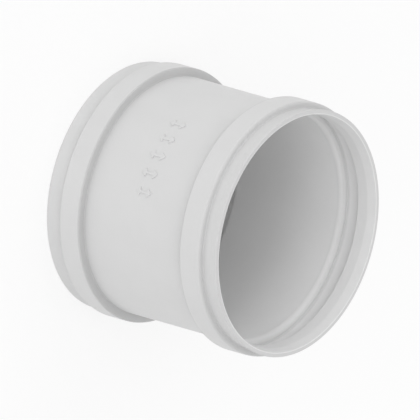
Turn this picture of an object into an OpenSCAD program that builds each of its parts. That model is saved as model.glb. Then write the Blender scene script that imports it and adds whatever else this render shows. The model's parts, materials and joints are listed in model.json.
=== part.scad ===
// Slip coupling for drain and vent pipe: one moulded sleeve with a ring-seat bead and a flared
// lip at both ends and a straight bore between them, which has no stop.
// It stands on one end. The axis is +Z and the origin is the middle of the lower end face.

/* [Pipe] */
// Outside diameter of the pipe that goes in at either end
pipe_d = 110; // [82:0.5:160]
// Gap between the pipe and the straight bore, on each side
pipe_gap = 0.4; // [0.2:0.05:0.5]

/* [Sleeve] */
// Length from end face to end face
sleeve_l = 104.4; // [75:0.1:160]
// Thickness of the wall, measured outwards
wall = 2.4; // [1.8:0.1:3.2]

/* [Ring seat] */
// Depth of the seal groove below the bore's surface
groove_depth = 4.1; // [3.7:0.1:6]
// Distance from the end face to the bead's far shoulder
bead_end = 21.2; // [20:0.1:26]
// Thickness of the bead's shoulder towards the lip, measured along the axis
lip_side_wall = 1.6; // [1.4:0.1:2.6]
// Thickness of the bead's shoulder towards the sleeve, measured along the axis
sleeve_side_wall = 2; // [1.6:0.1:2.6]
// Radius of the bead's edge towards the lip
bead_lip_round = 1.5; // [0.5:0.1:1.8]
// Radius of the bead's edge towards the sleeve
bead_edge_round = 0.6; // [0.2:0.1:1]
// Radius of the bend where the bead meets the sleeve
shoulder_round = 0.6; // [0.3:0.1:1]
// Radius of the bore's edge, over which the pipe leaves the ring
bore_edge_round = 2.4; // [1:0.1:3]

/* [Lip] */
// Length of the lip from the end face to the bead's near shoulder
lip_l = 8.9; // [7.5:0.1:11]
// How far the lip's inside stands clear of the bore's surface next to the groove, on each side
lip_clear = 0.95; // [0.5:0.05:1.2]
// How much the lip widens from the groove to the lead-in flare, on each side
lip_taper = 0.3; // [0.1:0.05:0.6]
// Length of the lead-in flare at the mouth
flare_l = 4.5; // [3:0.1:6]
// How much the lead-in flare widens, on each side
flare_h = 1.1; // [0.6:0.05:1.5]
// Radius of the bend where the lip meets the bead
foot_round = 0.6; // [0.3:0.1:1]
// Radius of the lip's inner edge, which keeps the ring in
lip_edge_round = 0.8; // [0.4:0.1:3]
// Radius of the soft edges of the end faces
mouth_round = 0.4; // [0.2:0.1:0.6]

/* [Hidden] */
$fn = 96;
// Largest turn from one point of a corner's arc to the next
arc_step = 10;

bore_r = pipe_d / 2 + pipe_gap;
groove_r = bore_r + groove_depth;
lip_r = bore_r + lip_clear;
flare_r = lip_r + lip_taper;
mouth_r = flare_r + flare_h;

// The groove's own corners are nearly sharp.
groove_corner_round = 0.3;
// The lead-in flare runs into the lip in a soft bend.
flare_bend_round = 6;
// An edge over the groove keeps its arc off the groove's corner.
lip_edge_r = min(lip_edge_round, groove_r - lip_r - groove_corner_round);
bore_edge_r = min(bore_edge_round, groove_depth - groove_corner_round);

// The lower half of the section. Each corner is [radius, height, radius of its arc].
outer_half = [
    [mouth_r + wall, 0, mouth_round],
    [flare_r + wall, flare_l, flare_bend_round],
    [lip_r + wall, lip_l, foot_round],
    [groove_r + wall, lip_l, bead_lip_round],
    [groove_r + wall, bead_end, bead_edge_round],
    [bore_r + wall, bead_end, shoulder_round],
];
inner_half = [
    [mouth_r, 0, mouth_round],
    [flare_r, flare_l, flare_bend_round],
    [lip_r, lip_l + lip_side_wall, lip_edge_r],
    [groove_r, lip_l + lip_side_wall, groove_corner_round],
    [groove_r, bead_end - sleeve_side_wall, groove_corner_round],
    [bore_r, bead_end - sleeve_side_wall, bore_edge_r],
];

function backwards(corners) = [for (i = [len(corners) - 1 : -1 : 0]) corners[i]];
function other_end(corners) = [for (c = corners) [c[0], sleeve_l - c[1], c[2]]];
// The whole section runs up the outside and down the inside.
section = concat(outer_half, backwards(other_end(outer_half)), other_end(inner_half), backwards(inner_half));

function flat(corner) = [corner[0], corner[1]];
function unit(v) = v / norm(v);
function heading(v) = atan2(v[1], v[0]);
function on_circle(centre, r, a) = centre + r * [cos(a), sin(a)];

// The points of the arc of radius r that rounds the corner "here", between its two neighbours
function arc_points(before, here, after, r) =
    let (
        to_before = unit(before - here),
        to_after = unit(after - here),
        half_a = acos(to_before * to_after) / 2,
        centre = here + unit(to_before + to_after) * r / sin(half_a),
        reach = r / tan(half_a),
        start_a = heading(here + to_before * reach - centre),
        end_a = heading(here + to_after * reach - centre),
        sweep = (end_a - start_a + 540) % 360 - 180,
        steps = ceil(abs(sweep) / arc_step)
    )
    [for (k = [0 : steps]) on_circle(centre, r, start_a + sweep * k / steps)];

// A closed outline with an arc at every corner
module rounded_outline(corners) {
    count = len(corners);
    polygon([
        for (i = [0 : count - 1])
            each arc_points(
                flat(corners[(i + count - 1) % count]),
                flat(corners[i]),
                flat(corners[(i + 1) % count]),
                corners[i][2]
            )
    ]);
}

module coupling_body() {
    color("gainsboro") rotate_extrude() rounded_outline(section);
}

coupling_body();
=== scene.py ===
# %% [markdown]
# # A slip coupling for drain pipe
#
# The coupling is one moulded sleeve of light grey plastic. Each end has a flared lip, and behind
# the lip a bead that hides the seat of a rubber ring. A pipe slides in from both sides, and
# nothing inside the bore stops it. The measured solid comes from the CAD frame, so this lesson
# is about how it looks: a camera with no perspective, light that is soft but not flat, and a
# satin plastic that isn't one dead colour.

import json
import math

import bmesh
import bpy
from mathutils import Matrix, Vector


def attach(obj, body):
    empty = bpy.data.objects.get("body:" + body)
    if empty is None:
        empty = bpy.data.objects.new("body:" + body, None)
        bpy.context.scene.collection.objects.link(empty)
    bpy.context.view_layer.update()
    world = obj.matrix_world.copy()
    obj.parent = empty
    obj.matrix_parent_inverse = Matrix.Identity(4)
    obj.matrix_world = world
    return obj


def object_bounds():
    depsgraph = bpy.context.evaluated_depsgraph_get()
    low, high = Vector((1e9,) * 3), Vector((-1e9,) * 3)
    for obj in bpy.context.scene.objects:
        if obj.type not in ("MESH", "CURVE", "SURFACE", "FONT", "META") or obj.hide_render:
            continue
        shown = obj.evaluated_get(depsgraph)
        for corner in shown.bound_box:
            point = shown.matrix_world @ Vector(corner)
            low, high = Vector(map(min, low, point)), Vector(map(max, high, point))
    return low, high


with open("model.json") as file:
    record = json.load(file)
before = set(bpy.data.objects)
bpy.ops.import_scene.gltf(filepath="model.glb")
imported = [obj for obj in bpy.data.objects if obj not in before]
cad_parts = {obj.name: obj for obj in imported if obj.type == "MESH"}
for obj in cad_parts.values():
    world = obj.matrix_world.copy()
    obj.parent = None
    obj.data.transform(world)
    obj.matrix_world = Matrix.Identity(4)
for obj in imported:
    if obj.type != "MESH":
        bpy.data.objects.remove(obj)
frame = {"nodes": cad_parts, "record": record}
cad_low, cad_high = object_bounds()
coupling = frame["nodes"]["coupling_body"]
print("coupling:", len(coupling.data.polygons), "triangles")

# %% [markdown]
# ## The section, in a few numbers
#
# The finish follows the form: shade is painted into the corners beside the beads, and inside the bore
# the colour is painted paler near the mouth and darker towards the foot. So the material needs to know
# where the walls are. The length and the two radii come from the frame. The wall and the steps along
# the axis are the same at both ends, so they are measured from the nearer end.

# %% Measure the section
WALL = 0.0024
LIP_CLEARANCE = 0.00095
LIP_END = 0.0089
GROOVE_START = 0.0105
GROOVE_END = 0.0192
BEAD_END = 0.0212

pipe_bore = next(mount for mount in frame["record"]["mounts"] if mount["name"] == "pipe_bore")
sleeve_length = cad_high.z - cad_low.z
bore_radius = pipe_bore["dims"]["r_mm"] / 1000
bead_radius = cad_high.x
sleeve_radius = bore_radius + WALL
lip_radius = bore_radius + LIP_CLEARANCE + WALL
groove_radius = bead_radius - WALL
print("length", round(sleeve_length, 4), "bore", bore_radius, "bead", round(bead_radius, 4))

# %% [markdown]
# ## The camera
#
# The photograph has no perspective: both ends of the coupling are drawn at one size. An
# orthographic camera does the same. Its direction is set by the one angle that the ellipse of
# the mouth gives away, between the coupling's axis and the line to the camera. In the picture
# the coupling lies on its side, though here it stands on its end, so the camera is rolled until
# its axis runs to the lower right.

# %% Aim the camera
PICTURE_SIDE_PX = 420
METRES_PER_PX = 0.0004726
AXIS_TO_CAMERA = math.radians(52.77)
AXIS_BELOW_LEVEL = math.radians(15.89)
MIDDLE_RIGHT_PX = 2.9
MIDDLE_UP_PX = 0.6
CAMERA_DISTANCE = 1.0

to_camera = Vector((0, -math.sin(AXIS_TO_CAMERA), math.cos(AXIS_TO_CAMERA)))
axis_in_picture = (Vector((0, 0, 1)) - to_camera * to_camera.z).normalized()
across_axis = to_camera.cross(axis_in_picture)
picture_right = axis_in_picture * math.cos(AXIS_BELOW_LEVEL) + across_axis * math.sin(AXIS_BELOW_LEVEL)
picture_up = to_camera.cross(picture_right)

middle = Vector((0, 0, sleeve_length / 2))
aim = middle - METRES_PER_PX * (MIDDLE_RIGHT_PX * picture_right + MIDDLE_UP_PX * picture_up)

camera_data = bpy.data.cameras.new("camera")
camera_data.type = "ORTHO"
camera_data.ortho_scale = METRES_PER_PX * PICTURE_SIDE_PX
camera = bpy.data.objects.new("camera", camera_data)
bpy.context.scene.collection.objects.link(camera)
turn = Matrix((picture_right, picture_up, to_camera)).transposed().to_4x4()
camera.matrix_world = Matrix.Translation(aim + CAMERA_DISTANCE * to_camera) @ turn
bpy.context.scene.camera = camera
print("camera at", [round(v, 3) for v in camera.location], "width", round(camera_data.ortho_scale, 4))

# %% [markdown]
# ## Light
#
# The light is that of a white studio tent. A pale world gives the same light from everywhere,
# and wide soft lamps stand round the coupling. The one on the camera's side is the strongest,
# because it alone reaches down the bore. The one behind is low, and none is overhead, because
# the end face is a shade darker in the photograph than the sleeve.

# %% Set the light
WORLD_STRENGTH = 0.6
LAMP_WIDTH = math.radians(60)
# Each lamp has its turn round the axis, counted from the camera's side, its height above level,
# both in degrees, and its strength.
LAMPS = {
    "front": (0, 40, 0.80),
    "left": (-80, 40, 0.45),
    "right": (80, 40, 0.20),
    "back": (180, 15, 0.35),
}

scene = bpy.context.scene
scene.view_settings.view_transform = "Standard"
scene.world = bpy.data.worlds.new("studio")
scene.world.use_nodes = True
sky = scene.world.node_tree.nodes["Background"]
sky.inputs["Color"].default_value = (1, 1, 1, 1)
sky.inputs["Strength"].default_value = WORLD_STRENGTH


def add_lamp(name, turn_degrees, height_degrees, strength):
    """Adds a sun so wide that its shadows have no edge. It shines from that side and height."""
    turn_angle = math.radians(turn_degrees)
    rise = math.tan(math.radians(height_degrees))
    from_side = Vector((math.sin(turn_angle), -math.cos(turn_angle), rise))
    lamp_data = bpy.data.lights.new(name, "SUN")
    lamp_data.energy = strength
    lamp_data.angle = LAMP_WIDTH
    lamp = bpy.data.objects.new(name, lamp_data)
    lamp.rotation_euler = from_side.to_track_quat("Z", "Y").to_euler()
    scene.collection.objects.link(lamp)


for lamp_name, (lamp_turn, lamp_height, lamp_strength) in LAMPS.items():
    add_lamp(lamp_name, lamp_turn, lamp_height, lamp_strength)
print("world", WORLD_STRENGTH, "and lamps", list(LAMPS))

# %% [markdown]
# ## Materials as recipes
#
# A material is a graph of nodes, and a graph is hard to read as code. Two small classes help. A
# Value wraps an output socket, so that Python's own operators add the Math nodes. A Recipe owns
# one material and adds any other node from its type, its settings and what goes into its
# sockets.

# %% Write the recipe helpers
class Value:
    """A number that varies over the surface: a shader output that Python can calculate with."""

    def __init__(self, recipe, socket):
        self.recipe = recipe
        self.socket = socket

    def combine(self, operation, first, second):
        made = self.recipe.node("ShaderNodeMath", {"operation": operation}, {0: first, 1: second})
        return made("Value")

    def __add__(self, other):
        return self.combine("ADD", self, other)

    def __radd__(self, other):
        return self.combine("ADD", other, self)

    def __sub__(self, other):
        return self.combine("SUBTRACT", self, other)

    def __rsub__(self, other):
        return self.combine("SUBTRACT", other, self)

    def __mul__(self, other):
        return self.combine("MULTIPLY", self, other)

    def __rmul__(self, other):
        return self.combine("MULTIPLY", other, self)

    def __pow__(self, other):
        return self.combine("POWER", self, other)

    def __abs__(self):
        return self.combine("ABSOLUTE", self, 0.0)

    def at_most(self, other):
        return self.combine("MINIMUM", self, other)

    def below(self, other):
        """1 where the value is below the other one, and 0 elsewhere."""
        return self.combine("LESS_THAN", self, other)


class Recipe:
    """The node graph of one material, around its Principled shader."""

    def __init__(self, name):
        self.material = bpy.data.materials.new(name)
        self.material.use_nodes = True
        self.tree = self.material.node_tree
        self.shader = self.tree.nodes["Principled BSDF"]

    def fill(self, socket, value):
        """Links a Value to the socket, or sets the socket to a plain value."""
        if isinstance(value, Value):
            self.tree.links.new(value.socket, socket)
        else:
            socket.default_value = value

    def node(self, kind, settings, inputs):
        """Adds a node, its settings first, and returns a function that gives its outputs."""
        made = self.tree.nodes.new(kind)
        for name, setting in settings.items():
            setattr(made, name, setting)
        for name, value in inputs.items():
            self.fill(made.inputs[name], value)
        return lambda output: Value(self, made.outputs[output])

    def place(self):
        """Where the point is on the piece, in metres."""
        return self.node("ShaderNodeTexCoord", {}, {})("Object")

    def noise(self, size, detail):
        """Soft spots about that size across, in metres, from 0 to 1."""
        inputs = {"Vector": self.place(), "Scale": 1 / size, "Detail": detail}
        return self.node("ShaderNodeTexNoise", {}, inputs)("Fac")

    def fade(self, value, start, end):
        """1 up to start, 0 from end on, and a smooth slope between them."""
        inputs = {"Value": value, "From Min": start, "From Max": end, "To Min": 1.0, "To Max": 0.0}
        return self.node("ShaderNodeMapRange", {"interpolation_type": "SMOOTHSTEP"}, inputs)("Result")


print("recipe helpers are ready")

# %% [markdown]
# ## Where on the coupling a point is
#
# The sleeve is round and its two ends are alike, so two numbers say where a point is: how far it
# is from the axis, and how far from the nearer end. With them the inside is told from the
# outside by the middle of the wall, which steps out round the ring seat and back in again.

# %% Start the plastic
plastic = Recipe("grey_plastic")
xyz = plastic.node("ShaderNodeSeparateXYZ", {}, {"Vector": plastic.place()})
from_axis = (xyz("X") * xyz("X") + xyz("Y") * xyz("Y")) ** 0.5
from_end = xyz("Z").at_most(sleeve_length - xyz("Z"))

LIP_FLARE = 0.0014
lip_middle = lip_radius - WALL / 2 + LIP_FLARE / 2
bead_middle = bead_radius - WALL / 2
sleeve_middle = sleeve_radius - WALL / 2
before_sleeve = from_end.below((GROOVE_END + BEAD_END) / 2)
before_bead = from_end.below((LIP_END + GROOVE_START) / 2)
step_out = (bead_middle - sleeve_middle) * before_sleeve
step_in = (bead_middle - lip_middle) * before_bead
wall_middle = sleeve_middle + step_out - step_in
inside = from_axis.below(wall_middle)
print("middle of the wall at", [round(r, 5) for r in (lip_middle, bead_middle, sleeve_middle)])

# %% [markdown]
# ## Painted shade in the corners
#
# The long plain faces are left as they are, and shade is painted into the colour where less light
# falls: on the bead's shoulders, in the bends at their feet, and in the deep inner corner where the
# ring will sit. The end faces and the bore's rounded edges are painted a shade darker too. Painting
# this by hand would need an image, so each place is a distance from a ring, and the painted shade
# fades with that distance.

# %% Find the corners that get painted shade
# A reach is how far from its ring the painted shade fades out, and a core is how far it lies in full.
SHOULDER_SHADE_REACH = 0.0011
SHOULDER_SHADE_CORE = 0.0002
BEND_SHADE_REACH = 0.0035
SEAT_SHADE_REACH = 0.0022
BORE_EDGE_SHADE_REACH = 0.0032
BORE_EDGE_SHADE_CORE = 0.0012
END_FACE_SHADE_REACH = 0.0006


def from_ring(radius, height):
    """Distance from a ring round the axis, seen in the section."""
    outwards = from_axis - radius
    along = from_end - height
    return (outwards * outwards + along * along) ** 0.5


# Painted shade: masks for the shoulders, the bend, the ring seat, the bore's edges and the end face.
lip_shoulder = plastic.fade(abs(from_end - LIP_END), SHOULDER_SHADE_CORE, SHOULDER_SHADE_REACH)
sleeve_shoulder = plastic.fade(abs(from_end - BEAD_END), SHOULDER_SHADE_CORE, SHOULDER_SHADE_REACH)
sleeve_bend = plastic.fade(from_ring(sleeve_radius, BEAD_END), 0.0, BEND_SHADE_REACH)
seat_corner = plastic.fade(from_ring(groove_radius, GROOVE_END), 0.0, SEAT_SHADE_REACH)
bore_edge = plastic.fade(from_ring(bore_radius, GROOVE_END), BORE_EDGE_SHADE_CORE, BORE_EDGE_SHADE_REACH)
end_face = plastic.fade(from_end, 0.0, END_FACE_SHADE_REACH)
outside = 1 - inside
print("dust on two shoulders, in a bend and a seat, on the bore's edge and the end face")

# %% [markdown]
# ## The colour
#
# The plastic is a neutral light grey. Moulded plastic is never quite even, so it drifts by one or
# two parts in a hundred in soft clouds, with a fine fleck on top. Inside, the upper mouth is painted
# paler, as painted light, and the wall is painted darker towards the foot, as painted shade.
# The lightness is worked out as one number, and a Mix node between black and white turns it into
# a colour at the end.

# %% Colour the plastic
GREY = 0.70
CLOUD_SIZE = 0.018
CLOUD_DRIFT = 0.05
FLECK_SIZE = 0.0012
FLECK_DRIFT = 0.02
# Painted light makes the upper mouth inside paler, and painted shade darkens the bore towards its foot.
MOUTH_PAINTED_LIGHT = 0.20
PALE_DEPTH = 0.022
PALE_END = 0.060
FOOT_PAINTED_SHADE = 0.14
FOOT_SHADE_FULL_HEIGHT = 0.015
FOOT_SHADE_END = 0.065
# How much of the light the painted shade takes away in each place
LIP_SHOULDER_SHADE = 0.10
SLEEVE_SHOULDER_SHADE = 0.17
BEND_SHADE = 0.04
SEAT_SHADE = 0.22
BORE_EDGE_SHADE = 0.13
END_FACE_SHADE = 0.06

clouds = plastic.noise(CLOUD_SIZE, 2.0)
flecks = plastic.noise(FLECK_SIZE, 2.0)
# Painted light in the upper mouth, and painted shade towards the foot of the bore.
mouth = inside * plastic.fade(sleeve_length - xyz("Z"), PALE_DEPTH, PALE_END)
foot = inside * plastic.fade(xyz("Z"), FOOT_SHADE_FULL_HEIGHT, FOOT_SHADE_END)
even_grey = GREY * (1 + CLOUD_DRIFT * (clouds - 0.5) + FLECK_DRIFT * (flecks - 0.5))
depth_painted_grey = even_grey * (1 + MOUTH_PAINTED_LIGHT * mouth - FOOT_PAINTED_SHADE * foot)
# Painted shade in the corners, on the bore's edges and on the end face, taken out of the colour below.
shoulder_shade = LIP_SHOULDER_SHADE * lip_shoulder + SLEEVE_SHOULDER_SHADE * sleeve_shoulder
outer_shade = outside * (shoulder_shade + BEND_SHADE * sleeve_bend)
inner_shade = inside * (SEAT_SHADE * seat_corner + BORE_EDGE_SHADE * bore_edge)
painted_shade = outer_shade + inner_shade + END_FACE_SHADE * end_face
lightness = depth_painted_grey * (1 - painted_shade)

black = (0, 0, 0, 1)
white = (1, 1, 1, 1)
# The colour sockets of a Mix node come after its sockets for numbers and vectors.
COLOUR_A = 6
COLOUR_B = 7
COLOUR_RESULT = 2
grey = plastic.node("ShaderNodeMix", {"data_type": "RGBA"}, {0: lightness, COLOUR_A: black, COLOUR_B: white})
plastic.fill(plastic.shader.inputs["Base Color"], grey(COLOUR_RESULT))
print("grey", GREY, "and", round(GREY * (1 + MOUTH_PAINTED_LIGHT), 3), "in the upper mouth")

# %% [markdown]
# ## The gloss and the grain
#
# The mould was blasted, so the surface is satin: broad soft highlights and a grain too fine to
# count. Roughness drifts with its own clouds, and it is higher where shade is painted into the
# colour. The bump adds the grain and the slow waves that shrinkage leaves in a thick wall.

# %% Roughen the plastic
SATIN = 0.44
SHEEN_SIZE = 0.011
SHEEN_DRIFT = 0.10
PAINTED_SHADE_DULLNESS = 0.5
GRAIN_SIZE = 0.00035
GRAIN_HEIGHT = 0.000008
WAVE_SIZE = 0.014
WAVE_HEIGHT = 0.00006

sheen = plastic.noise(SHEEN_SIZE, 3.0)
# Roughness rises where shade is painted into the colour.
roughness = SATIN + SHEEN_DRIFT * (sheen - 0.5) + PAINTED_SHADE_DULLNESS * painted_shade
plastic.fill(plastic.shader.inputs["Roughness"], roughness)
plastic.shader.inputs["IOR"].default_value = 1.5

height = GRAIN_HEIGHT * plastic.noise(GRAIN_SIZE, 1.0) + WAVE_HEIGHT * plastic.noise(WAVE_SIZE, 1.0)
bump = plastic.node("ShaderNodeBump", {}, {"Strength": 1.0, "Distance": 1.0, "Height": height})
plastic.fill(plastic.shader.inputs["Normal"], bump("Normal"))

for material_slot in coupling.material_slots:
    material_slot.material = plastic.material
print("satin", SATIN, "with", len(plastic.tree.nodes), "nodes")

# %% [markdown]
# ## Raised arrows
#
# Couplings of this kind carry a raised mark on the sleeve. Here it is a row of plain two-way
# arrows, which say that the sleeve may slide either way along the pipe. An arrow could be a curve
# or a boolean, but a box is enough: its end faces are extruded once to widen them into barbs and
# once more to draw them to a tip. A narrow bevel gives the soft edge that a mould leaves.

# %% Model one arrow
ARROW_LENGTH = 0.009
SHAFT_WIDTH = 0.0012
BARB_LENGTH = 0.0003
HEAD_LENGTH = 0.0026
HEAD_WIDTH = 0.0044
TIP_WIDTH = 0.0004
RELIEF = 0.0005
SUNK = 0.0004
EDGE_ROUND = 0.00014
SHARPEST_SMOOTH_EDGE = math.radians(40)
# A face looks along the axis when its normal has at least this much of it.
ALONG_AXIS = 0.99


def select_end_face(direction):
    """Selects the face that looks along +Z or -Z, at the very end of the piece in edit mode."""
    mesh = bmesh.from_edit_mesh(bpy.context.object.data)
    bpy.ops.mesh.select_all(action="DESELECT")
    for face in mesh.faces:
        if face.normal.z * direction > ALONG_AXIS:
            face.select_set(True)
    bmesh.update_edit_mesh(bpy.context.object.data)


def extrude_end(distance, widening):
    """Pulls the selected face out along the axis and widens it across the arrow."""
    bpy.ops.mesh.extrude_region_move(TRANSFORM_OT_translate={"value": (0, 0, distance)})
    bpy.ops.transform.resize(value=(widening, 1, 1))


shaft_length = ARROW_LENGTH - 2 * HEAD_LENGTH
bpy.ops.object.select_all(action="DESELECT")
bpy.ops.mesh.primitive_cube_add(size=1, location=(0, 0, 0))
arrow = bpy.context.object
arrow.name = "arrow_1"
arrow.scale = (SHAFT_WIDTH, RELIEF + SUNK, shaft_length)
bpy.ops.object.transform_apply(location=True, rotation=True, scale=True)

bpy.ops.object.mode_set(mode="EDIT")
bpy.ops.mesh.select_mode(type="FACE")
for direction in (1, -1):
    select_end_face(direction)
    extrude_end(direction * BARB_LENGTH, HEAD_WIDTH / SHAFT_WIDTH)
    extrude_end(direction * (HEAD_LENGTH - BARB_LENGTH), TIP_WIDTH / HEAD_WIDTH)
bpy.ops.object.mode_set(mode="OBJECT")

bevel = arrow.modifiers.new("soft_edge", "BEVEL")
bevel.width = EDGE_ROUND
bevel.segments = 2
bpy.ops.object.modifier_apply(modifier=bevel.name)
bpy.ops.object.shade_smooth_by_angle(angle=SHARPEST_SMOOTH_EDGE)
print("arrow:", len(arrow.data.polygons), "faces,", [round(v * 1000, 2) for v in arrow.dimensions], "mm")

# %% [markdown]
# ## The row
#
# The first arrow is copied along the curve of the sleeve, each copy with its own mesh, and then
# each is moved to its place and has that place applied. An arrow is so narrow that its flat foot
# leaves the round wall by only a few hundredths of a millimetre, which its sunk depth covers.

# %% Place the arrows
ARROW_COUNT = 5
ROW_MIDDLE = math.radians(-17.5)
ROW_STEP = math.radians(9.3)
ROW_HEIGHT = 0.054


def place_arrow(piece, angle):
    """Moves an arrow from the origin to its angle round the sleeve, and applies that place."""
    out = sleeve_radius + (RELIEF - SUNK) / 2
    bpy.ops.object.select_all(action="DESELECT")
    piece.select_set(True)
    bpy.context.view_layer.objects.active = piece
    piece.location = (out * math.sin(angle), -out * math.cos(angle), ROW_HEIGHT)
    piece.rotation_euler = (0, 0, angle)
    bpy.ops.object.transform_apply(location=True, rotation=True, scale=True)


arrows = [arrow]
for number in range(2, ARROW_COUNT + 1):
    piece = arrow.copy()
    piece.data = arrow.data.copy()
    piece.name = f"arrow_{number}"
    scene.collection.objects.link(piece)
    arrows.append(piece)
for index, piece in enumerate(arrows):
    place_arrow(piece, ROW_MIDDLE + (index - (ARROW_COUNT - 1) / 2) * ROW_STEP)
    piece.data.materials.append(plastic.material)
    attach(piece, "root")
print("arrows:", [piece.name for piece in arrows])

# %% [markdown]
# ## The floor
#
# The background is plain white, and a floor that is merely white paper renders as pale grey. So
# what the camera sees of it is mostly a glow of strength 1, and the rest is the paper itself,
# which keeps a faint shadow round the foot. Reflections see the same glow, and every other ray
# sees plain paper, so that the floor throws no extra light on the coupling.

# %% Lay the floor
FLOOR_SIZE = 4
GLOW_SHARE = 0.75

bpy.ops.object.select_all(action="DESELECT")
bpy.ops.mesh.primitive_plane_add(size=FLOOR_SIZE, location=(0, 0, 0))
floor = bpy.context.object
floor.name = "floor"

paper = Recipe("white_paper")
paper.shader.inputs["Base Color"].default_value = white
paper.shader.inputs["Roughness"].default_value = 1.0
paper.shader.inputs["Specular IOR Level"].default_value = 0.0
path = paper.node("ShaderNodeLightPath", {}, {})
seen = path("Is Camera Ray") + path("Is Glossy Ray") + path("Is Transmission Ray")
glow = paper.node("ShaderNodeEmission", {}, {"Strength": 1.0})
share = GLOW_SHARE * seen.at_most(1.0)
sheet = Value(paper, paper.shader.outputs["BSDF"])
mix = paper.node("ShaderNodeMixShader", {}, {0: share, 1: sheet, 2: glow("Emission")})
paper.fill(paper.tree.nodes["Material Output"].inputs["Surface"], mix("Shader"))
floor.data.materials.append(paper.material)
print("floor", FLOOR_SIZE, "m square")
